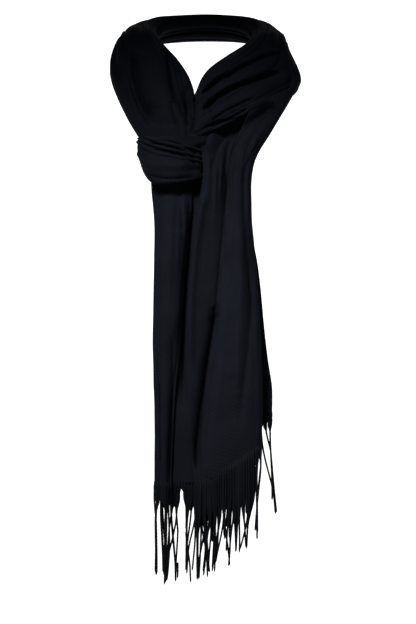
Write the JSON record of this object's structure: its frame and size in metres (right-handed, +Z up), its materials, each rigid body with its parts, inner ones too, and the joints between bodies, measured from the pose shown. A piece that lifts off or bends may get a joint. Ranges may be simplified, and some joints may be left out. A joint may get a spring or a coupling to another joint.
{
  "type": "pashmina shawl",
  "caption": "Plain twill shawl worn round a neck and tied once in front, with gathered pleats at the neck, two folded hanging ends and a twisted fringe.",
  "frame": {"origin": "centre of the neck that the shawl hangs on, level with the front of the neck opening", "axes": "+Z up, -Y towards the knot and the hanging ends, +X towards the collar with the broad pleats"},
  "size_m": [0.2303, 0.2258, 0.7046],
  "materials": {
    "cloth": "soft fine twill, near black",
    "fringe": "twisted yarn, near black"
  },
  "bodies": {
    "root": {"collar_left": "cloth", "neck_back": "cloth", "collar_right": "cloth", "knot_band": "cloth", "tail_left": "cloth", "tail_right": "cloth", "fringe_left": "fringe", "fringe_right": "fringe"}
  },
  "joints": []
}
